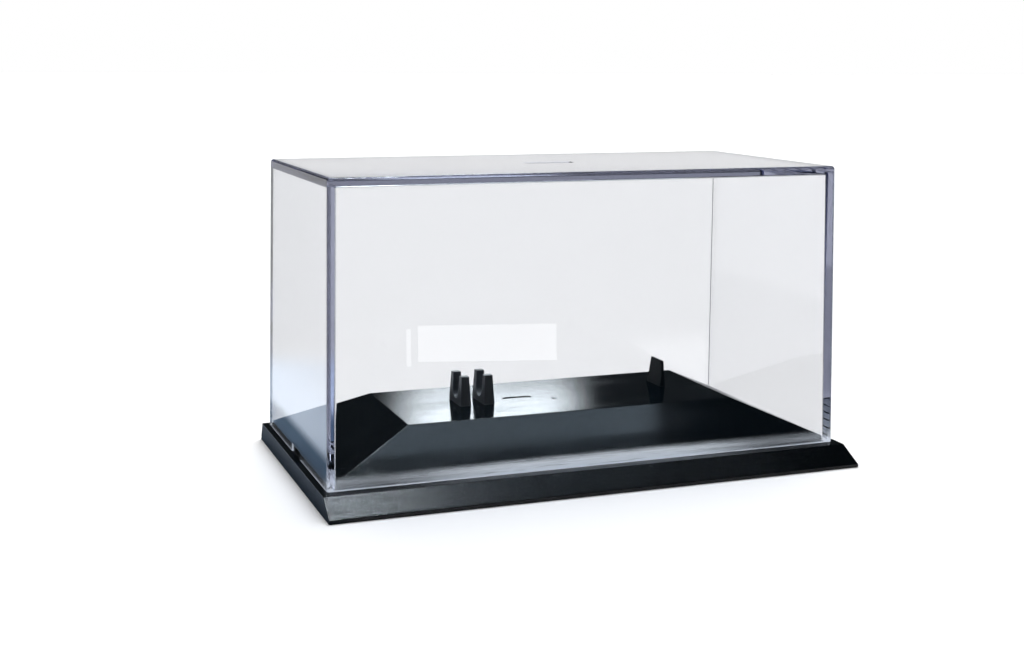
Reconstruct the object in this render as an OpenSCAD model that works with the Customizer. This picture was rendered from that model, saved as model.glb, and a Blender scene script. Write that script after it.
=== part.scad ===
// Small display case for a scale model: a clear lift-off cover over a black moulded base,
// with plug-in holders for the model on the raised deck. Front faces -Y, up is +Z.

/* [Cover] */
// Outside length of the cover at its bottom edge
cover_len = 100; // [80:1:140]
// Outside depth of the cover at its bottom edge
cover_depth = 49.5; // [40:0.5:80]
// Height of the cover
cover_height = 53.2; // [40:0.2:90]
// Wall thickness of the cover
cover_wall = 1.5; // [1.2:0.1:2.2]
// Draft of the cover's walls, in degrees
cover_draft = 1.4; // [0.5:0.1:2]
// Radius of the cover's outer edges
cover_edge_r = 0.6; // [0.3:0.1:1]
// Radius of the cover's inner corners
cover_inner_r = 0.3; // [0.2:0.1:0.6]
// Width of the notch in the left end wall
notch_width = 6.8; // [4:0.2:12]
// Height of the notch in the left end wall
notch_height = 1.6; // [1:0.1:3]

/* [Base] */
// Wall thickness of the hollow base
base_wall = 1.6; // [1.2:0.1:2.2]
// Ledge left uncovered at each end
ledge_end = 1.2; // [0.8:0.1:4]
// Ledge left uncovered along the front
ledge_front = 2.2; // [0.8:0.1:4]
// Ledge left uncovered along the back
ledge_back = 1.1; // [0.8:0.1:4]
// Run of the slanted front face
bevel_run = 4.8; // [2:0.2:8]
// Drop of the slanted front face
bevel_drop = 2.7; // [2:0.1:6]
// Height of the upright lip round the foot
lip_height = 0.7; // [0.4:0.1:2]
// Draft run of the back and end faces
side_draft = 0.3; // [0:0.1:1]
// Height of the upright step that locates the cover
seat_height = 1.1; // [0.8:0.1:2]
// Gap between that step and the cover's inner faces
seat_gap = 0.2; // [0.1:0.05:0.5]
// Gap round the locating lug in its notch
lug_gap = 0.25; // [0.15:0.05:0.5]

/* [Deck] */
// Length of the flat deck
deck_len = 65.4; // [55:0.1:70]
// Depth of the flat deck
deck_depth = 26.2; // [18:0.1:30]
// Height of the deck above the ledge
deck_rise = 8; // [6:0.5:14]
// How far the deck's middle lies in front of the cover's middle
deck_forward = 1.2; // [0:0.1:2]
// Length of the blank oblong pad pressed into the deck
pad_len = 6; // [4:0.5:8]
// Width of that pad
pad_width = 2; // [1:0.5:4]
// Distance of that pad to the left of the deck's middle
pad_left = 6.8; // [5:0.2:7.6]

/* [Clips] */
// Distance of the first clip to the left of the deck's middle
clip_left = 18.4; // [17:0.2:22]
// Distance from the first clip to the second
clip_pitch = 4.7; // [3.5:0.1:6]
// Height of a clip's prongs above the deck
clip_height = 5.6; // [4:0.2:9]
// Overall depth of a clip at its foot
clip_depth = 7; // [6:0.1:9]
// Width of a clip at its foot
clip_foot_width = 2.1; // [1.8:0.1:3]
// Width of a prong at its top
clip_top_width = 1.5; // [1.2:0.1:1.8]
// Lean of a prong's outer face from foot to top
prong_lean = 0.45; // [0.2:0.05:0.6]
// Width of the slot where its round bottom starts
slot_width = 3.1; // [2.4:0.1:3.4]
// Width of the slot at its mouth
slot_mouth = 3.7; // [3.5:0.1:4]
// Thickness of the clip under the slot
slot_floor = 1; // [0.8:0.1:1.4]

/* [Rear support] */
// Distance of the support to the right of the deck's middle
support_right = 24.3; // [18:0.1:26]
// Distance of the support behind the deck's middle
support_back = 2.6; // [0:0.2:4]
// Height of the support above the deck
support_height = 5.1; // [4:0.1:9]
// Depth of the support at its foot
support_foot_depth = 6.4; // [5:0.2:8]
// Depth of the support at its top
support_top_depth = 4.8; // [3:0.2:5]
// Thickness of the support at its top
support_top_thick = 0.45; // [0.4:0.05:0.8]
// Thickness of the support above its flared foot
support_knee_thick = 0.65; // [0.5:0.05:0.9]
// Thickness of the support's foot
support_foot_thick = 1.1; // [1:0.1:1.6]
// Height of the support's flared foot
support_knee = 2.1; // [1:0.1:3]

/* [Plugs] */
// Depth of the tang under each holder
tang_depth = 4; // [3:0.2:5]
// Share of a holder's foot width that its tang takes
tang_share = 0.6; // [0.5:0.05:0.8]
// How far a tang stands out under the deck
tang_end = 0.8; // [0.4:0.1:1.5]
// Gap round a tang in its slot
tang_gap = 0.05; // [0.03:0.01:0.1]

/* [Moulding marks] */
// Radius of a gate mark
gate_r = 0.5; // [0.3:0.1:1]
// Height of a gate mark
gate_height = 0.12; // [0.05:0.01:0.15]
// Distance of the deck's gate mark in front of the deck's middle
gate_forward = 2.3; // [0:0.1:4]
// Depth of the blank pads
pad_sink = 0.15; // [0.15:0.05:0.3]
// Length of the pad on top of the cover
top_pad_len = 10; // [6:0.5:14]
// Width of the pad on top of the cover
top_pad_width = 3; // [2:0.5:5]

/* [Hidden] */
$fn = 48;
hull_fn = 32;
over = 1; // how far a cutter runs past the face it cuts
sliver = 0.01; // height of the discs that start a hull
ledge_z = bevel_drop + lip_height;
seat_z = ledge_z + seat_height;
deck_z = ledge_z + deck_rise;
half_len = cover_len / 2 + ledge_end;
ledge_front_y = cover_depth / 2 + ledge_front;
ledge_back_y = cover_depth / 2 + ledge_back;
foot_front_y = ledge_front_y + bevel_run;
foot_back_y = ledge_back_y + side_draft;
cover_y = (foot_front_y - foot_back_y) / 2; // puts the origin under the middle of the base
seat_half_len = cover_len / 2 - cover_wall - seat_gap;
seat_half_depth = cover_depth / 2 - cover_wall - seat_gap;
deck_y = -deck_forward;
clip_foot_half = clip_depth / 2;
clip_top_half = clip_foot_half - prong_lean;
tang_root = 0.5; // how far a tang reaches up into its holder

// A profile drawn in Y and Z, drawn out along X
module along_x(len) {
    rotate([90, 0, 90])
        linear_extrude(height = len, center = true)
            children();
}

// A profile drawn in X and Z, drawn out along Y
module along_y(depth) {
    rotate([90, 0, 0])
        linear_extrude(height = depth, center = true)
            children();
}

// Box whose walls lean in by the cover's draft, with rounded upright and top edges
module drafted_box(len, depth, height, r) {
    lean = height * tan(cover_draft);
    hull()
        for (sx = [-1, 1], sy = [-1, 1]) {
            translate([sx * (len / 2 - r), sy * (depth / 2 - r), 0])
                cylinder(r = r, h = sliver, $fn = hull_fn);
            translate([sx * (len / 2 - lean - r), sy * (depth / 2 - lean - r), height - r])
                sphere(r = r, $fn = hull_fn);
        }
}

// Flat-bottomed oblong with round ends, lying along X
module oblong(len, width, height) {
    reach = (len - width) / 2;
    for (side = [-1, 1])
        translate([side * reach, 0, 0])
            cylinder(d = width, h = height);
    translate([-reach, -width / 2, 0])
        cube([2 * reach, width, height]);
}

// Where a sloped face that starts at the seat and ends at the deck is at height z,
// moved inwards by wall measured square to the face
function slope_at(z, seat, deck, wall) =
    let (rise = deck_z - seat_z, run = seat - deck)
    seat - (z - seat_z) * run / rise - wall * sqrt(rise * rise + run * run) / rise;

// The sloped block under the deck, moved inwards by wall, from height low up to high
module sloped_block(wall, low, high) {
    front = [for (z = [low, high]) -slope_at(z, seat_half_depth, deck_depth / 2 - deck_y, wall)];
    back = [for (z = [low, high]) slope_at(z, seat_half_depth, deck_depth / 2 + deck_y, wall)];
    ends = [for (z = [low, high]) slope_at(z, seat_half_len, deck_len / 2, wall)];
    intersection() {
        along_x(4 * half_len)
            polygon([[front[0], low], [back[0], low], [back[1], high], [front[1], high]]);
        along_y(4 * foot_front_y)
            polygon([[-ends[0], low], [ends[0], low], [ends[1], high], [-ends[1], high]]);
    }
}

// The low tray that the cover stands on: slanted in front, nearly upright elsewhere
module ledge_tray() {
    intersection() {
        along_x(2 * (half_len + side_draft))
            polygon([
                [-foot_front_y, 0],
                [foot_back_y, 0],
                [ledge_back_y, ledge_z],
                [-ledge_front_y, ledge_z],
                [-foot_front_y, lip_height],
            ]);
        along_y(4 * foot_front_y)
            polygon([
                [-half_len - side_draft, 0],
                [half_len + side_draft, 0],
                [half_len, ledge_z],
                [-half_len, ledge_z],
            ]);
    }
}

// Where the slanted front face, moved inwards by the wall, is at height z
function slant_at(z) =
    let (slant = sqrt(bevel_run * bevel_run + bevel_drop * bevel_drop))
    -foot_front_y + ((z - lip_height) * bevel_run + base_wall * slant) / bevel_drop;

// The hollow under the base, open at the bottom: shallow under the ledge, deep under the deck
module base_hollow() {
    roof = ledge_z - base_wall;
    back = ledge_back_y - base_wall;
    along_x(2 * (half_len - base_wall))
        polygon([[slant_at(-over), -over], [back, -over], [back, roof], [slant_at(roof), roof]]);
    intersection() {
        sloped_block(base_wall, -over, deck_z - base_wall);
        translate([base_wall - half_len, slant_at(roof), -over])
            cube([2 * (half_len - base_wall), back - slant_at(roof), deck_z]);
    }
}

// The lug at the left end that stands in the cover's notch
module locating_lug() {
    reach = seat_gap + cover_wall - lug_gap;
    width = notch_width - 2 * lug_gap;
    translate([-seat_half_len - reach, -width / 2, ledge_z - over])
        cube([reach + over, width, notch_height - lug_gap + over]);
}

// Places a holder on the deck
module on_deck(right, back) {
    translate([right, cover_y + deck_y + back, deck_z])
        children();
}

// Slot in the deck for a holder's tang
module tang_slot(thick) {
    size = [tang_share * thick + 2 * tang_gap, tang_depth + 2 * tang_gap, base_wall + 2 * over];
    translate([-size.x / 2, -size.y / 2, -base_wall - over])
        cube(size);
}

// Tang that plugs a holder into the deck
module tang(thick) {
    size = [tang_share * thick, tang_depth, base_wall + tang_end + tang_root];
    translate([-size.x / 2, -size.y / 2, -base_wall - tang_end])
        cube(size);
}

module base_plinth() {
    color([0.07, 0.075, 0.08])
        difference() {
            union() {
                translate([0, cover_y, 0]) {
                    ledge_tray();
                    translate([-seat_half_len, -seat_half_depth, ledge_z - over])
                        cube([2 * seat_half_len, 2 * seat_half_depth, seat_height + over]);
                    sloped_block(0, seat_z, deck_z);
                    locating_lug();
                }
                on_deck(0, -gate_forward)
                    cylinder(r = gate_r, h = gate_height);
            }
            translate([0, cover_y, 0])
                base_hollow();
            on_deck(-pad_left, 0)
                translate([0, 0, -pad_sink])
                    oblong(pad_len, pad_width, pad_sink + over);
            for (k = [0, 1])
                on_deck(-clip_left + k * clip_pitch, 0)
                    tang_slot(clip_foot_width);
            on_deck(support_right, support_back)
                tang_slot(support_foot_thick);
        }
}

module clear_cover() {
    color([0.85, 0.9, 0.97, 0.35])
        translate([0, cover_y, ledge_z])
            difference() {
                drafted_box(cover_len, cover_depth, cover_height, cover_edge_r);
                translate([0, 0, -over])
                    drafted_box(
                        cover_len - 2 * cover_wall + 2 * over * tan(cover_draft),
                        cover_depth - 2 * cover_wall + 2 * over * tan(cover_draft),
                        cover_height - cover_wall + over,
                        cover_inner_r
                    );
                translate([-cover_len, -notch_width / 2, -over])
                    cube([cover_len, notch_width, notch_height + over]);
                translate([0, 0, cover_height - pad_sink])
                    difference() {
                        oblong(top_pad_len, top_pad_width, pad_sink + over);
                        cylinder(r = gate_r, h = gate_height);
                    }
            }
}

// Two prongs with a round-bottomed slot between them, on a foot with a tang
module model_clip(index) {
    middle_z = slot_floor + slot_width / 2;
    on_deck(-clip_left + index * clip_pitch, 0) {
        intersection() {
            along_x(2 * clip_foot_width)
                difference() {
                    polygon([
                        [-clip_foot_half, 0],
                        [clip_foot_half, 0],
                        [clip_top_half, clip_height],
                        [-clip_top_half, clip_height],
                    ]);
                    translate([0, middle_z])
                        circle(d = slot_width);
                    polygon([
                        [-slot_width / 2, middle_z],
                        [slot_width / 2, middle_z],
                        [slot_mouth / 2, clip_height + over],
                        [-slot_mouth / 2, clip_height + over],
                    ]);
                }
            along_y(2 * clip_depth)
                polygon([
                    [-clip_foot_width / 2, 0],
                    [clip_foot_width / 2, 0],
                    [clip_top_width / 2, clip_height],
                    [-clip_top_width / 2, clip_height],
                ]);
        }
        tang(clip_foot_width);
    }
}

module model_clip_left() {
    color([0.24, 0.26, 0.28])
        model_clip(0);
}

module model_clip_right() {
    color([0.24, 0.26, 0.28])
        model_clip(1);
}

// Thin upright plate: straight on its right, flared on its left at the foot
module rear_support() {
    face = support_foot_thick / 2;
    color([0.14, 0.16, 0.18])
        on_deck(support_right, support_back) {
            intersection() {
                along_x(4 * support_foot_thick)
                    polygon([
                        [-support_foot_depth / 2, 0],
                        [support_foot_depth / 2, 0],
                        [support_top_depth / 2, support_height],
                        [-support_top_depth / 2, support_height],
                    ]);
                along_y(2 * support_foot_depth)
                    polygon([
                        [-face, 0],
                        [face, 0],
                        [face, support_height],
                        [face - support_top_thick, support_height],
                        [face - support_knee_thick, support_knee],
                    ]);
            }
            tang(support_foot_thick);
        }
}

base_plinth();
clear_cover();
model_clip_left();
model_clip_right();
rear_support();
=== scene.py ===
import math

import bmesh
import bpy
from mathutils import Matrix, Vector


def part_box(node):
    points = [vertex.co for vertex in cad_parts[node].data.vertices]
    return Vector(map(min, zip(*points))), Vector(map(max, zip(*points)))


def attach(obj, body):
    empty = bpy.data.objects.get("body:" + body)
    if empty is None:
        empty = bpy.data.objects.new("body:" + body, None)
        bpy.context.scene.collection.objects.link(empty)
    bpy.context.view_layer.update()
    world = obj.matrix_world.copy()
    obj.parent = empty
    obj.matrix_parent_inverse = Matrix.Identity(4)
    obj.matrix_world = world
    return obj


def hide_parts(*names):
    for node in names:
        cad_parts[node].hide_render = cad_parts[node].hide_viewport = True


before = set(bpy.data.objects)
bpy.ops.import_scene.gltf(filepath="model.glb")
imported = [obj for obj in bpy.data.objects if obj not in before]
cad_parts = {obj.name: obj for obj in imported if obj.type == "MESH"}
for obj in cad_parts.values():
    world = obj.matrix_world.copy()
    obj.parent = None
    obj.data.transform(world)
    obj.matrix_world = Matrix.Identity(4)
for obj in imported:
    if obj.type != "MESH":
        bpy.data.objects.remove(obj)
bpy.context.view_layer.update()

MM = 0.001

# ------------------------------------------------------------------ shader arithmetic


class Wire:
    """A shader socket that takes part in plain arithmetic."""

    def __init__(self, finish, socket):
        self.finish = finish
        self.socket = socket

    def _math(self, operation, *values):
        return self.finish.node("ShaderNodeMath", dict(enumerate(values)), operation=operation)[0]

    def __add__(self, other):
        return self._math("ADD", self, other)

    __radd__ = __add__

    def __sub__(self, other):
        return self._math("SUBTRACT", self, other)

    def __rsub__(self, other):
        return self._math("SUBTRACT", other, self)

    def __mul__(self, other):
        return self._math("MULTIPLY", self, other)

    __rmul__ = __mul__

    def __truediv__(self, other):
        return self._math("DIVIDE", self, other)

    def __gt__(self, other):
        return self._math("GREATER_THAN", self, other)

    def __abs__(self):
        return self._math("ABSOLUTE", self)

    def lower(self, other):
        return self._math("MINIMUM", self, other)

    def higher(self, other):
        return self._math("MAXIMUM", self, other)

    def ease(self, start, end):
        """0 before start, 1 after end, and a smooth step between them"""
        values = {"Value": self, "From Min": start, "From Max": end}
        return self.finish.node("ShaderNodeMapRange", values, interpolation_type="SMOOTHSTEP")[0]


class Outputs:
    """The outputs of one node, by name or number."""

    def __init__(self, finish, node):
        self.finish = finish
        self.node = node

    def __getitem__(self, key):
        return Wire(self.finish, self.node.outputs[key])


class Finish:
    """A node tree under construction, for a material or the studio's surroundings."""

    def __init__(self, owner):
        owner.use_nodes = True
        self.owner = owner
        self.tree = owner.node_tree
        self.tree.nodes.clear()

    def node(self, kind, values=None, **settings):
        """One node: its settings first, then its sockets' values or links"""
        made = self.tree.nodes.new(kind)
        for name, value in settings.items():
            setattr(made, name, value)
        for name, value in (values or {}).items():
            socket = made.inputs[name]
            if isinstance(value, Wire):
                self.tree.links.new(value.socket, socket)
            elif isinstance(value, tuple) and socket.type == "RGBA":
                socket.default_value = (*value, 1)
            else:
                socket.default_value = value
        return Outputs(self, made)

    def place(self, turn=(0, 0, 0), stretch=(1, 1, 1)):
        """Object coordinates in millimetres, turned and stretched"""
        where = self.node("ShaderNodeTexCoord")["Object"]
        size = tuple(s / MM for s in stretch)
        return self.node("ShaderNodeMapping", {"Vector": where, "Rotation": turn, "Scale": size})[0]

    def parts(self, vector):
        """The x, y and z of a vector, or the three channels of a colour"""
        split = self.node("ShaderNodeSeparateXYZ", {0: vector})
        return split[0], split[1], split[2]

    def noise(self, vector, size, detail=2.0, rough=0.5):
        """Noise whose blobs are about size millimetres across"""
        values = {"Vector": vector, "Scale": 1 / size, "Detail": detail, "Roughness": rough}
        return self.node("ShaderNodeTexNoise", values)[0]

    def specks(self, vector, pitch, radius):
        """Round specks, one in each cell of that pitch, and a number that differs from cell to cell"""
        cells = self.node("ShaderNodeTexVoronoi", {"Vector": vector, "Scale": 1 / pitch}, feature="F1")
        speck = cells["Distance"].ease(radius / pitch, 0.5 * radius / pitch)
        return speck, self.parts(cells["Color"])[0]

    def blend(self, factor, a, b):
        """Colour a where factor is 0 and b where it is 1"""
        return self.node("ShaderNodeMix", {0: factor, 6: a, 7: b}, data_type="RGBA")[2]

    def bump(self, height, depth, below=None):
        """A normal from a height, where a height of 1 stands depth millimetres proud"""
        values = {"Height": height, "Distance": depth * MM, "Strength": 1.0}
        if below is not None:
            values["Normal"] = below
        return self.node("ShaderNodeBump", values)["Normal"]

    def output(self, shader, kind="ShaderNodeOutputMaterial"):
        self.node(kind, {"Surface": shader})
        return self.owner


def new_finish(name):
    return Finish(bpy.data.materials.new(name))


# ------------------------------------------------------------------ finishes

BLACK = (0.0004, 0.0014, 0.0023)
BLACK_IOR = 1.57
DUST = (0.30, 0.31, 0.33)
DUSTY_BASE = 0.72  # a speck shows where its chance is above this
DUSTY_COVER = 0.85
CLIP_GREY = (0.076, 0.086, 0.094)
CLIP_ROUGHNESS = 0.40
CLIP_IOR = 1.55
SUPPORT_GREY = (0.003, 0.0045, 0.0055)
SUPPORT_ROUGHNESS = 0.36
SUPPORT_IOR = 1.18
PATCH_LIGHTER = 1.35
CLEAR_IOR = 1.59
CLEAR = (0.986, 0.987, 0.989)
# painted shade: a dark tint for the far top edges of the cover
FAR_CORNERS_PAINTED_DARK = (0.10, 0.105, 0.125)
LAMP_THROUGH_CLEAR = (0.93, 0.94, 0.95)
EDGE_TINT = (0.29, 0.32, 0.56)
EDGE_TINT_DENSITY = 20.0
RIM_DARK = (0.40, 0.42, 0.47)
RIM_PALE = (0.62, 0.65, 0.71)
RIM_RIGHT_PAINTED_SHADE = (0.14, 0.15, 0.16)
# the haze is a painted band of the light piped down the front wall and scattered at its foot
HAZE = (0.88, 0.94, 1.0)
HAZE_AT_ENDS = 0.22
HAZE_AT_MIDDLE = 1.03
# spans in millimetres along X, Y or Z, over which a finish changes
HAZE_FOOT_Z = (6.1, 4.0)
HAZE_FRONT_Y = (-18.5, -20.2)
HAZE_LEFT_X = (-42, -6)
HAZE_RIGHT_X = (36, 10)
RIM_RIGHT_X = (46, 48)
RIM_RIGHT_Y = (-18, -14)


def scratches(finish, turn, pitch, width):
    """Hairlines that lie mostly along one direction"""
    along = finish.place(turn=turn, stretch=(0.05, 1, 1))
    wander = finish.noise(along, size=6.0, detail=1.0)
    lines = finish.noise(along, size=pitch, detail=0.0)
    thin = abs(lines - 0.5).ease(width, 0.0)
    return thin * wander.ease(0.56, 0.66)


def gloss_black():
    """Polished black polystyrene of the deck and its slopes"""
    f = new_finish("gloss_black_plastic")
    where = f.place()
    swirl = f.noise(where, size=14.0, detail=1.0)
    smear = f.noise(f.place(turn=(0.3, 0.2, 0.5), stretch=(0.4, 1, 1)), size=7.0, detail=3.0)
    hair = scratches(f, turn=(0, 0, 0.4), pitch=0.9, width=0.012)
    hair = hair.higher(scratches(f, turn=(0, 0, -0.9), pitch=1.1, width=0.010))
    speck, chance = f.specks(where, pitch=2.4, radius=0.07)
    dust = speck * (chance > DUSTY_BASE)
    rough = 0.075 + 0.07 * smear.ease(0.45, 0.75) + 0.10 * hair + 0.5 * dust
    normal = f.bump(swirl, depth=0.010)
    normal = f.bump(dust, depth=0.015, below=normal)
    colour = f.blend(dust * 0.6, BLACK, DUST)
    shader = f.node(
        "ShaderNodeBsdfPrincipled",
        {"Base Color": colour, "Roughness": rough.lower(0.9), "Normal": normal, "IOR": BLACK_IOR},
    )[0]
    return f.output(shader)


def grained_black():
    """Spark-eroded grain of the slanted front face, still glossy between its hills"""
    f = new_finish("grained_black_plastic")
    where = f.place()
    grain = f.noise(where, size=0.50, detail=2.0, rough=0.6)
    coarse = f.noise(where, size=1.1, detail=1.0)
    patch = f.noise(where, size=9.0, detail=2.0)
    rough = 0.06 + 0.18 * grain.ease(0.3, 0.7) + 0.05 * patch
    normal = f.bump(grain * 0.75 + coarse * 0.25, depth=0.060)
    shader = f.node(
        "ShaderNodeBsdfPrincipled",
        {"Base Color": BLACK, "Roughness": rough, "Normal": normal, "IOR": BLACK_IOR},
    )[0]
    return f.output(shader)


def satin_black():
    """The upright lip round the base's foot, drawn fine along Z as it leaves its mould"""
    f = new_finish("satin_black_plastic")
    where = f.place()
    fine = f.noise(where, size=0.12, detail=2.0)
    drag = f.noise(f.place(stretch=(1, 1, 0.15)), size=0.35, detail=2.0)
    rough = 0.34 + 0.12 * fine + 0.08 * drag
    normal = f.bump(fine * 0.5 + drag * 0.5, depth=0.006)
    shader = f.node(
        "ShaderNodeBsdfPrincipled",
        {"Base Color": BLACK, "Roughness": rough, "Normal": normal, "IOR": BLACK_IOR},
    )[0]
    return f.output(shader)


def holder_grey(name, colour, roughness, ior):
    """Satin moulded plastic of the holders"""
    f = new_finish(name)
    where = f.place()
    fine = f.noise(where, size=0.10, detail=2.0)
    patch = f.noise(where, size=1.4, detail=2.0)
    lighter = tuple(c * PATCH_LIGHTER for c in colour)
    rough = roughness + 0.10 * (fine - 0.5) + 0.08 * (patch - 0.5)
    normal = f.bump(fine, depth=0.004)
    shader = f.node(
        "ShaderNodeBsdfPrincipled",
        {
            "Base Color": f.blend(patch, colour, lighter),
            "Roughness": rough,
            "Normal": normal,
            "IOR": ior,
        },
    )[0]
    return f.output(shader)


def cut_rim():
    """The bottom edge of the cover, which is left matt and scatters the light that runs down its walls;
    along the right wall its colour is painted darker as painted shade
    """
    f = new_finish("matt_cover_rim")
    lines = f.noise(f.place(stretch=(0.1, 0.1, 1)), size=0.3, detail=2.0)
    colour = f.blend(lines.ease(0.3, 0.7), RIM_DARK, RIM_PALE)
    x, y = f.parts(f.place())[:2]
    # painted shade: the rim along the right wall is painted darker
    right_wall_shade = x.ease(*RIM_RIGHT_X) * y.ease(*RIM_RIGHT_Y)
    shader = f.node(
        "ShaderNodeBsdfPrincipled",
        {
            "Base Color": f.blend(right_wall_shade, colour, RIM_RIGHT_PAINTED_SHADE),
            "Roughness": 0.3 + 0.2 * lines,
            "IOR": CLEAR_IOR,
            "Transmission Weight": 0.5,
        },
    )[0]
    return f.output(shader)


def clear_plastic(name, colour):
    """Clear polystyrene of the cover, tinted in its depth, with a translucent band at the foot of the
    front wall that paints in the light piped down the wall
    """
    f = new_finish(name)
    where = f.place()
    flow = f.noise(f.place(stretch=(1, 1, 0.5)), size=22.0, detail=0.0)
    hair = scratches(f, turn=(0.2, 0.1, 0.5), pitch=1.3, width=0.006)
    speck, chance = f.specks(where, pitch=4.0, radius=0.06)
    dust = speck * (chance > DUSTY_COVER)
    rough = 0.03 * hair + 0.3 * dust
    normal = f.bump(flow, depth=0.0003)
    glass = f.node(
        "ShaderNodeBsdfPrincipled",
        {
            "Base Color": colour,
            "Roughness": rough,
            "Normal": normal,
            "IOR": CLEAR_IOR,
            "Transmission Weight": 1.0,
        },
    )[0]
    x, y, z = f.parts(where)
    streaks = f.noise(f.place(stretch=(0.04, 1, 1)), size=0.35, detail=2.0)
    # painted light: a translucent band at the foot of the front wall, brightest in the middle, standing
    # in for light piped down the wall
    front_foot = z.ease(*HAZE_FOOT_Z) * y.ease(*HAZE_FRONT_Y)
    middle = HAZE_AT_MIDDLE * x.ease(*HAZE_LEFT_X) * x.ease(*HAZE_RIGHT_X)
    piped_light_haze = front_foot * (HAZE_AT_ENDS + middle)
    piped_light_haze = (piped_light_haze * streaks.ease(0.05, 0.6)).lower(1.0)
    haze = f.node("ShaderNodeBsdfTranslucent", {"Color": HAZE})[0]
    wall = f.node("ShaderNodeMixShader", {0: piped_light_haze, 1: glass, 2: haze})[0]
    lamp = f.node("ShaderNodeBsdfTransparent", {"Color": LAMP_THROUGH_CLEAR})[0]
    path = f.node("ShaderNodeLightPath")
    passes = path["Is Shadow Ray"].higher(path["Is Diffuse Ray"])
    surface = f.node("ShaderNodeMixShader", {0: passes, 1: wall, 2: lamp})[0]
    depth = f.node("ShaderNodeVolumeAbsorption", {"Color": EDGE_TINT, "Density": EDGE_TINT_DENSITY})[0]
    f.node("ShaderNodeOutputMaterial", {"Surface": surface, "Volume": depth})
    return f.owner


# ------------------------------------------------------------------ mesh helpers

SHARP = 34  # edges that turn by more degrees than this stay crisp
FLAT = math.radians(0.2)
FLAT_FACES_LEAD = 100
ON_BOTTOM = 1e-6
SAME_PLACE = 1e-7


def finished_piece(bm, name, body, node, materials):
    """Makes the piece that stands for a CAD node and rides on its body"""
    for face in bm.faces:
        face.smooth = True
    for edge in bm.edges:
        edge.smooth = corner_angle(edge) < SHARP
    mesh = bpy.data.meshes.new(name)
    bm.to_mesh(mesh)
    bm.free()
    piece = bpy.data.objects.new(name, mesh)
    bpy.context.scene.collection.objects.link(piece)
    for material in materials:
        mesh.materials.append(material)
    even = piece.modifiers.new("flat_faces_stay_flat", "WEIGHTED_NORMAL")
    even.weight = FLAT_FACES_LEAD
    even.keep_sharp = True
    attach(piece, body)
    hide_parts(node)


def merged_copy(node):
    """The CAD node's shape as one closed mesh with whole flat faces"""
    bm = bmesh.new()
    bm.from_mesh(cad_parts[node].data)
    bmesh.ops.remove_doubles(bm, verts=bm.verts, dist=SAME_PLACE)
    bmesh.ops.dissolve_limit(
        bm,
        angle_limit=FLAT,
        verts=bm.verts,
        edges=bm.edges,
        use_dissolve_boundaries=False,
    )
    return bm


def ease_edges(bm, edges, radius, segments):
    """Rounds edges, as the mould's own edges are rounded"""
    bmesh.ops.bevel(
        bm,
        geom=list(edges),
        offset=radius,
        offset_type="OFFSET",
        segments=segments,
        profile=0.5,
        affect="EDGES",
        clamp_overlap=True,
        material=-1,
    )


def corner_angle(edge):
    """The degrees by which the surface turns at an edge"""
    return math.degrees(edge.calc_face_angle(0.0))


# ------------------------------------------------------------------ cover

WALL = 1.5 * MM
DRAFT = math.tan(math.radians(1.4))
OUTER_RADIUS = 0.6 * MM
INNER_RADIUS = 0.3 * MM
CORNER_STEPS = 6
NOTCH_HALF_WIDTH = 3.4 * MM
NOTCH_HEIGHT = 1.6 * MM
PAD_LENGTH = 10 * MM
PAD_WIDTH = 3 * MM
PAD_SINK = 0.15 * MM
PAD_STEPS = 32
GATE_RADIUS = 0.5 * MM
GATE_HEIGHT = 0.12 * MM
GATE_STEPS = 24
# how far a face's normal turns towards an axis
TILTED = 0.15
FACES_DOWN = -0.9
SQUARE_ON = 0.02
CORNER_REACH = 2.2 * MM
RIM_REACH = 0.1 * MM
RIM_SLOT = 1
FAR_CORNER_SLOT = 2


def open_box(bm, middle, half_length, half_depth, bottom, top, radius):
    """A box open at the bottom with drafted walls and rounded edges; gives its bottom edges"""
    made = bmesh.ops.create_cube(bm, size=2)["verts"]
    height = top - bottom
    bmesh.ops.scale(bm, vec=(half_length, half_depth, height / 2), verts=made)
    upper = [v for v in made if v.co.z > 0]
    lean = height * DRAFT
    squeeze = (1 - lean / half_length, 1 - lean / half_depth, 1)
    bmesh.ops.scale(bm, vec=squeeze, verts=upper)
    bmesh.ops.translate(bm, vec=(middle.x, middle.y, (bottom + top) / 2), verts=made)
    edges = [e for e in bm.edges if any(v in upper for v in e.verts)]
    under = [f for v in made for f in v.link_faces if all(w not in upper for w in f.verts)][0]
    bmesh.ops.delete(bm, geom=[under], context="FACES_ONLY")
    ease_edges(bm, edges, radius, CORNER_STEPS)
    return [e for e in bm.edges if e.is_boundary and abs(e.verts[0].co.z - bottom) < ON_BOTTOM]


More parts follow.
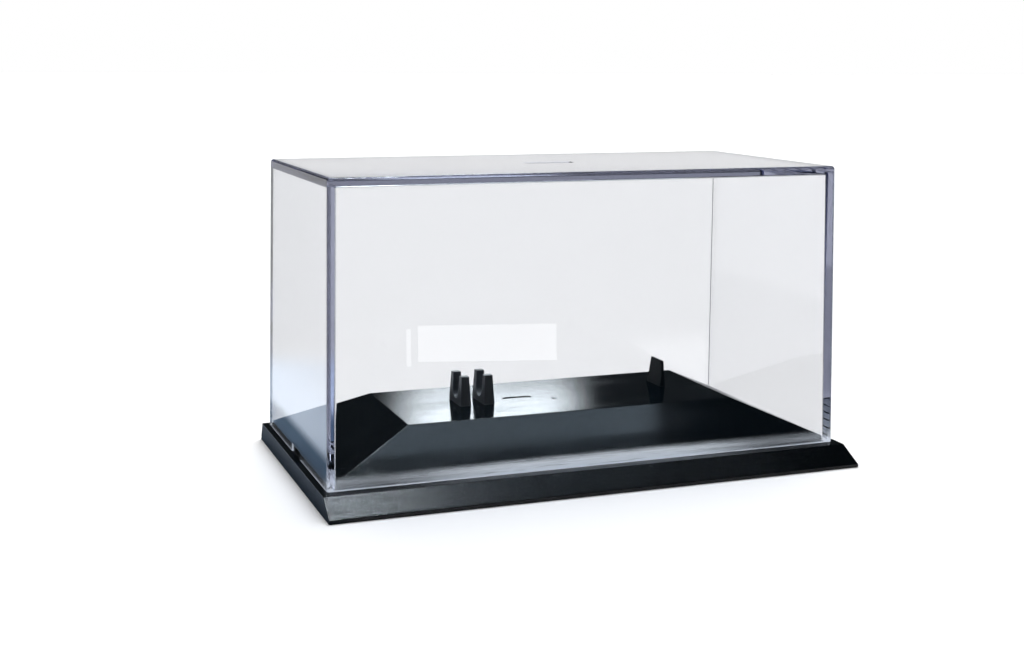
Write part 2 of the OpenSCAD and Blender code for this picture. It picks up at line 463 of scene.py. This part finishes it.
def clear_cover():
    """The four walls and top as one shell, with its notch, its pad and its three finishes"""
    low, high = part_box("clear_cover")
    middle = (low + high) / 2
    half = (high - low) / 2
    bm = bmesh.new()
    inner = open_box(bm, middle, half.x - WALL, half.y - WALL, low.z, high.z - WALL, INNER_RADIUS)
    bmesh.ops.reverse_faces(bm, faces=bm.faces)
    known = set(inner)
    both = open_box(bm, middle, half.x, half.y, low.z, high.z, OUTER_RADIUS)
    outer = [e for e in both if e not in known]
    bmesh.ops.bridge_loops(bm, edges=inner + outer)
    bmesh.ops.recalc_face_normals(bm, faces=bm.faces)
    cut_notch(bm, low, middle)
    sink_pad(bm, middle, high.z)
    for face in bm.faces:
        centre = face.calc_center_median()
        turn = face.normal
        at_back = turn.y > TILTED and (turn.z > TILTED or abs(turn.x) > TILTED)
        at_right = turn.x > TILTED and turn.z > TILTED
        outside = max(abs(centre.x), centre.y - middle.y + half.x - half.y) > half.x - CORNER_REACH
        if turn.z < FACES_DOWN and centre.z < low.z + RIM_REACH:
            face.material_index = RIM_SLOT
        elif outside and (at_back or at_right) and centre.z > low.z + 2 * NOTCH_HEIGHT:
            # painted shade: the outer faces round the far top edges get a dark tint, standing in for the
            # dark those rounded edges mirror
            face.material_index = FAR_CORNER_SLOT
    finished_piece(
        bm,
        "clear_cover_moulding",
        "cover",
        "clear_cover",
        [
            clear_plastic("clear_polystyrene", CLEAR),
            cut_rim(),
            clear_plastic("clear_far_corners_painted_dark", FAR_CORNERS_PAINTED_DARK),
        ],
    )


def cut_notch(bm, low, middle):
    """The notch in the bottom edge of the left end wall"""
    top = low.z + NOTCH_HEIGHT
    end = low.x + 2 * WALL
    cuts = (
        ((0, middle.y - NOTCH_HALF_WIDTH, 0), (0, 1, 0)),
        ((0, middle.y + NOTCH_HALF_WIDTH, 0), (0, 1, 0)),
        ((0, 0, top), (0, 0, 1)),
    )
    for place, normal in cuts:
        ends = [f for f in bm.faces if f.calc_center_median().x < end and abs(f.normal.y) < SQUARE_ON]
        geom = ends + [e for e in bm.edges if any(f in ends for f in e.link_faces)]
        geom += [v for v in bm.verts if any(f in ends for f in v.link_faces)]
        bmesh.ops.bisect_plane(bm, geom=geom, dist=SAME_PLACE, plane_co=place, plane_no=normal)
    gone = []
    for face in bm.faces:
        centre = face.calc_center_median()
        if centre.x < end and abs(centre.y - middle.y) < NOTCH_HALF_WIDTH and centre.z < top:
            gone.append(face)
    bmesh.ops.delete(bm, geom=gone, context="FACES")
    loose = [e for e in bm.edges if e.is_boundary]
    chains = [e for e in loose if abs(e.verts[0].co.x - e.verts[1].co.x) < WALL / 2]
    bmesh.ops.bridge_loops(bm, edges=chains)


def sink_pad(bm, middle, top):
    """The blank oblong pad sunk into the top of the cover, with its gate mark"""
    roof = max(bm.faces, key=lambda f: (round(f.calc_center_median().z, 6), f.calc_area()))
    outline = list(roof.edges)
    bmesh.ops.delete(bm, geom=[roof], context="FACES_ONLY")
    oblong = bmesh.ops.create_circle(bm, segments=PAD_STEPS, radius=PAD_WIDTH / 2)["verts"]
    bmesh.ops.rotate(bm, matrix=Matrix.Rotation(math.pi / PAD_STEPS, 3, "Z"), verts=oblong)
    for side in (-1, 1):
        half = [v for v in oblong if side * v.co.x > 0]
        bmesh.ops.translate(bm, vec=(side * (PAD_LENGTH - PAD_WIDTH), 0, 0), verts=half)
    bmesh.ops.scale(bm, vec=(0.5 * PAD_LENGTH / (PAD_LENGTH - PAD_WIDTH / 2), 1, 1), verts=oblong)
    bmesh.ops.translate(bm, vec=(middle.x, middle.y, top), verts=oblong)
    brink = loop_edges(bm, oblong)
    bmesh.ops.triangle_fill(bm, edges=outline + brink, normal=(0, 0, 1), use_beauty=True)
    sunk = lifted_copy(bm, brink, -PAD_SINK)
    gate = bmesh.ops.create_circle(bm, segments=GATE_STEPS, radius=GATE_RADIUS)["verts"]
    bmesh.ops.translate(bm, vec=(middle.x, middle.y, top - PAD_SINK), verts=gate)
    foot = loop_edges(bm, gate)
    bmesh.ops.triangle_fill(bm, edges=sunk + foot, normal=(0, 0, 1), use_beauty=True)
    raised = lifted_copy(bm, foot, GATE_HEIGHT)
    bmesh.ops.contextual_create(bm, geom=raised)
    bmesh.ops.recalc_face_normals(bm, faces=bm.faces)


def loop_edges(bm, verts):
    """The edges of a loose loop of vertices"""
    return [e for e in bm.edges if e.verts[0] in verts]


def lifted_copy(bm, edges, lift):
    """Pulls a loop of edges up or down into a wall and gives the far loop"""
    pulled = bmesh.ops.extrude_edge_only(bm, edges=edges)["geom"]
    moved = [g for g in pulled if isinstance(g, bmesh.types.BMVert)]
    bmesh.ops.translate(bm, vec=(0, 0, lift), verts=moved)
    return [g for g in pulled if isinstance(g, bmesh.types.BMEdge) and len(g.link_faces) == 1]


# ------------------------------------------------------------------ base

BASE_EDGE_RADIUS = 0.12 * MM
BASE_EDGE_STEPS = 3
BASE_CREASE = 12  # edges that turn by more degrees than this are eased
BASE_SHORTEST = 1.0 * MM
DECK_MARKS_REACH = 20 * MM  # short edges nearer the middle than this belong to slots and marks
DECK_MARKS_LENGTH = 8 * MM
SLANT_TOP = 3.35 * MM
SLANT_FORWARD = -0.3
SLANT_UP = 0.6
LIP_TOP = 3.3 * MM
LIP_UPRIGHT = 0.4
GRAINED_SLOT = 1
SATIN_SLOT = 2


def base():
    """The black moulding: gloss on top, grain on the slanted front and satin on the lip"""
    bm = merged_copy("base_plinth")
    eased = []
    for edge in bm.edges:
        reach = max(abs(v.co.x) for v in edge.verts)
        length = edge.calc_length()
        mark = reach < DECK_MARKS_REACH and length < DECK_MARKS_LENGTH
        if corner_angle(edge) > BASE_CREASE and length > BASE_SHORTEST and not mark:
            eased.append(edge)
    ease_edges(bm, eased, BASE_EDGE_RADIUS, BASE_EDGE_STEPS)
    for face in bm.faces:
        height = face.calc_center_median().z
        turn = face.normal
        if height < SLANT_TOP and turn.y < SLANT_FORWARD and turn.z > SLANT_UP:
            face.material_index = GRAINED_SLOT
        elif 0 < height < LIP_TOP and abs(turn.z) < LIP_UPRIGHT:
            face.material_index = SATIN_SLOT
    finishes = [gloss_black(), grained_black(), satin_black()]
    finished_piece(bm, "base_moulding", "base", "base_plinth", finishes)


# ------------------------------------------------------------------ holders

HOLDER_EDGE_RADIUS = 0.09 * MM
HOLDER_EDGE_STEPS = 2
HOLDER_CREASE = 20  # edges that turn by more degrees than this are eased
HOLDER_SHORTEST = 0.5 * MM


def holder(node, name, material):
    """A clip or the support, with its edges eased"""
    bm = merged_copy(node)
    edges = []
    for edge in bm.edges:
        if corner_angle(edge) > HOLDER_CREASE and edge.calc_length() > HOLDER_SHORTEST:
            edges.append(edge)
    ease_edges(bm, edges, HOLDER_EDGE_RADIUS, HOLDER_EDGE_STEPS)
    finished_piece(bm, name, "base", node, [material])


# ------------------------------------------------------------------ camera, stage and light

CAMERA_PLACE = (-104.11 * MM, -252.11 * MM, 76.23 * MM)
CAMERA_YAW = 0.3633
CAMERA_PITCH = 0.191
CAMERA_ROLL = 0.0067
SENSOR = 36
LENS = 1.401923828125 * SENSOR
NEAREST = 0.01
FURTHEST = 50
FLOOR_REACH = 6
FLOOR_IN_VIEW = (0.92, 0.92, 0.92)
FLOOR_PALE = (0.83, 0.835, 0.845)
# painted shade and painted reflections: floor colours that only mirrored rays see
FLOOR_PAINTED_SHADE_LEFT = (0.63, 0.645, 0.67)
FLOOR_PAINTED_SHADE_FURTHER_LEFT = (0.46, 0.53, 0.63)
FLOOR_PAINTED_BLUE_REFLECTION = (0.62, 0.72, 0.86)
FLOOR_PAINTED_CONTACT_SHADOW = (0.10, 0.15, 0.22)
FLOOR_PAINTED_SHADE_FAR = (0.52, 0.525, 0.54)
FLOOR_PAINTED_SHADE_BEHIND = (0.33, 0.335, 0.35)
FLOOR_PAINTED_SHADE_IN_FRONT = (0.006, 0.011, 0.017)
# spans in millimetres along X or Y, over which the floor's painted shade and painted reflections change
BESIDE_X = (-46, -52)
BESIDE_Y = (130, 90)
# where the painted contact shadow beside the base's left end lies
CONTACT_SHADOW_X = (-59.5, -56.5)
CONTACT_SHADOW_Y = (80, 50)
BEHIND_X = (-44, -36)
BEHIND_Y = (28, 45)
LEFT_X = (-46, -60)
FURTHER_LEFT_X = (-100, -72)
BLUE_X = (-82, -62)
FAR_Y = (90, 140)
IN_FRONT_Y = (-20, -45)
# spans of the direction in which a ray leaves, over which the studio changes
BACK_Y = (0.0, 0.25)
FRONT_Y = (-0.05, -0.3)
FRONT_Z = (0.6, 0.3)
SWEEP_Z = (0.15, 0.07)
TINT_Z = (0.10, 0.18)
LAMP_BOTTOM_Z = (0.205, 0.245)
LAMP_TOP_Z = (0.6, 0.45)
LAMP_LEFT = (0.272, 0.325)
LAMP_RIGHT = (0.455, 0.405)
LEAST_Y = 0.05
WHITE = (1, 1, 1)
SWEEP_WHITE = (0.97, 0.975, 0.99)
LAMP_WHITE = (0.87, 0.95, 1.0)
SWEEP_GLOW = 0.80
LAMP_GLOW = 5.8
FRONT_GLOW = 0.04
ROOM_GLOW = 0.02
BOUNCES = 72
CLEAR_LAYERS = 24


def camera():
    data = bpy.data.cameras.new("camera")
    data.lens = LENS
    data.sensor_width = SENSOR
    data.clip_start = NEAREST
    data.clip_end = FURTHEST
    made = bpy.data.objects.new("camera", data)
    bpy.context.scene.collection.objects.link(made)
    turned = (
        Matrix.Rotation(-CAMERA_YAW, 4, "Z")
        @ Matrix.Rotation(math.pi / 2 - CAMERA_PITCH, 4, "X")
        @ Matrix.Rotation(CAMERA_ROLL, 4, "Z")
    )
    made.matrix_world = Matrix.Translation(CAMERA_PLACE) @ turned
    bpy.context.scene.camera = made


def softbox(name, place, target, size, radiance, colour=WHITE, outside=True, inside=True):
    """A rectangular soft lamp, mirrored by what is outside the cover, inside it or both"""
    data = bpy.data.lights.new(name, "AREA")
    data.shape = "RECTANGLE"
    data.size, data.size_y = size
    data.energy = 4 * radiance * size[0] * size[1]
    data.color = colour
    made = bpy.data.objects.new(name, data)
    bpy.context.scene.collection.objects.link(made)
    made.location = place
    aim = Vector(target) - Vector(place)
    made.rotation_euler = aim.to_track_quat("-Z", "Y").to_euler()
    made.visible_camera = False
    made.visible_diffuse = False
    made.visible_glossy = outside
    made.visible_transmission = inside


def straight_through(finish):
    """1 for rays that have only passed through the clear cover, 0 for those that were mirrored"""
    path = finish.node("ShaderNodeLightPath")
    return path["Is Transmission Ray"] * (1.0 - (path["Glossy Depth"] > 0.5))


def surroundings():
    """White where it is seen straight; mirrored, a pale sweep behind, a lamp over it and a dim room"""
    world = bpy.data.worlds.new("studio")
    bpy.context.scene.world = world
    f = Finish(world)
    x, y, z = f.parts(f.node("ShaderNodeTexCoord")["Generated"])
    behind = y.ease(*BACK_Y)
    sweep = SWEEP_GLOW * behind * z.ease(*SWEEP_Z)
    bearing = x / y.higher(LEAST_Y)
    lamp = LAMP_GLOW * bearing.ease(*LAMP_LEFT) * bearing.ease(*LAMP_RIGHT)
    lamp = lamp * z.ease(*LAMP_BOTTOM_Z) * z.ease(*LAMP_TOP_Z) * behind
    front = FRONT_GLOW * y.ease(*FRONT_Y) * z.ease(*FRONT_Z)
    glow = ROOM_GLOW + sweep + lamp + front
    tint = f.blend(z.ease(*TINT_Z), SWEEP_WHITE, LAMP_WHITE)
    direct = f.node("ShaderNodeLightPath")["Is Camera Ray"].higher(straight_through(f))
    seen = f.node("ShaderNodeBackground", {"Color": WHITE, "Strength": 1.0})[0]
    lit = f.node("ShaderNodeBackground", {"Color": tint, "Strength": glow})[0]
    f.output(f.node("ShaderNodeMixShader", {0: direct, 1: lit, 2: seen})[0], "ShaderNodeOutputWorld")


def floor():
    """A pale floor; mirrored rays see painted shade and painted reflections on it, in patches behind and
    beside the object and in front
    """
    bm = bmesh.new()
    bmesh.ops.create_grid(bm, x_segments=8, y_segments=8, size=FLOOR_REACH)
    mesh = bpy.data.meshes.new("floor")
    bm.to_mesh(mesh)
    bm.free()
    made = bpy.data.objects.new("floor", mesh)
    bpy.context.scene.collection.objects.link(made)
    f = new_finish("pale_floor")
    x, y = f.parts(f.place())[:2]
    beside = x.ease(*BESIDE_X) * y.ease(*BESIDE_Y)
    # painted shade and a painted bluish reflection to the left of the object, for mirrored rays only
    paint = f.blend(x.ease(*LEFT_X), FLOOR_PALE, FLOOR_PAINTED_SHADE_LEFT)
    paint = f.blend(x.ease(*FURTHER_LEFT_X) * beside, paint, FLOOR_PAINTED_SHADE_FURTHER_LEFT)
    paint = f.blend(x.ease(*BLUE_X) * beside, paint, FLOOR_PAINTED_BLUE_REFLECTION)
    # painted contact shadow beside the base's left end, which only mirrored rays see
    paint = f.blend(x.ease(*CONTACT_SHADOW_X) * beside * y.ease(*CONTACT_SHADOW_Y), paint, FLOOR_PAINTED_CONTACT_SHADOW)
    # painted shade far off, behind the object and in front of it, for mirrored rays only
    paint = f.blend(y.ease(*FAR_Y), paint, FLOOR_PAINTED_SHADE_FAR)
    paint = f.blend(x.ease(*BEHIND_X) * y.ease(*BEHIND_Y), paint, FLOOR_PAINTED_SHADE_BEHIND)
    paint = f.blend(y.ease(*IN_FRONT_Y), paint, FLOOR_PAINTED_SHADE_IN_FRONT)
    paint = f.blend(straight_through(f), paint, FLOOR_PALE)
    paint = f.blend(f.node("ShaderNodeLightPath")["Is Camera Ray"], paint, FLOOR_IN_VIEW)
    shader = f.node(
        "ShaderNodeBsdfPrincipled",
        {"Base Color": paint, "Roughness": 0.9, "Specular IOR Level": 0.0},
    )[0]
    mesh.materials.append(f.output(shader))


def daylight(name, source, strength, angle):
    """Even soft light from one side, which isn't mirrored in the gloss"""
    data = bpy.data.lights.new(name, "SUN")
    data.energy = strength
    data.angle = math.radians(angle)
    made = bpy.data.objects.new(name, data)
    bpy.context.scene.collection.objects.link(made)
    made.rotation_euler = (-Vector(source)).to_track_quat("-Z", "Y").to_euler()
    made.visible_glossy = False
    made.visible_transmission = False


def lights():
    """Lamps over the object, a small one mirrored by the front wall, and an even daylight"""
    softbox(
        "slant_light",
        place=(-0.042, 0.070, 0.40),
        target=(-0.042, 0.070, 0),
        size=(0.220, 0.075),
        radiance=21.5,
        colour=(0.86, 0.95, 1.0),
    )
    softbox(
        "ceiling_panel",
        place=(0.050, -0.0635, 0.401),
        target=(0.050, -0.0635, 0),
        size=(0.31, 0.117),
        radiance=1.4,
        colour=(0.66, 0.84, 1.0),
        outside=False,
    )
    softbox(
        "front_lamp",
        place=(0.0128, -0.116, 0.0122),
        target=(-0.0197, -0.0215, 0.0272),
        size=(0.034, 0.0089),
        radiance=1.6,
        inside=False,
    )
    softbox(
        "front_gap",
        place=(-0.0073, -0.116, 0.0122),
        target=(-0.0398, -0.0215, 0.0272),
        size=(0.0011, 0.0089),
        radiance=1.4,
        inside=False,
    )
    daylight("room_light", source=(0.35, 0.65, 1.0), strength=4.95, angle=70)


camera()
surroundings()
floor()
lights()
clear_cover()
base()
clip_finish = holder_grey("satin_grey_plastic", CLIP_GREY, CLIP_ROUGHNESS, CLIP_IOR)
support_finish = holder_grey("satin_dark_plastic", SUPPORT_GREY, SUPPORT_ROUGHNESS, SUPPORT_IOR)
holder("model_clip_left", "left_clip_moulding", clip_finish)
holder("model_clip_right", "right_clip_moulding", clip_finish)
holder("rear_support", "support_moulding", support_finish)

scene = bpy.context.scene
scene.view_settings.view_transform = "Standard"
scene.cycles.max_bounces = BOUNCES
scene.cycles.transmission_bounces = BOUNCES
scene.cycles.glossy_bounces = BOUNCES
scene.cycles.transparent_max_bounces = CLEAR_LAYERS
scene.cycles.caustics_refractive = False
scene.cycles.caustics_reflective = False

bpy.context.view_layer.update()
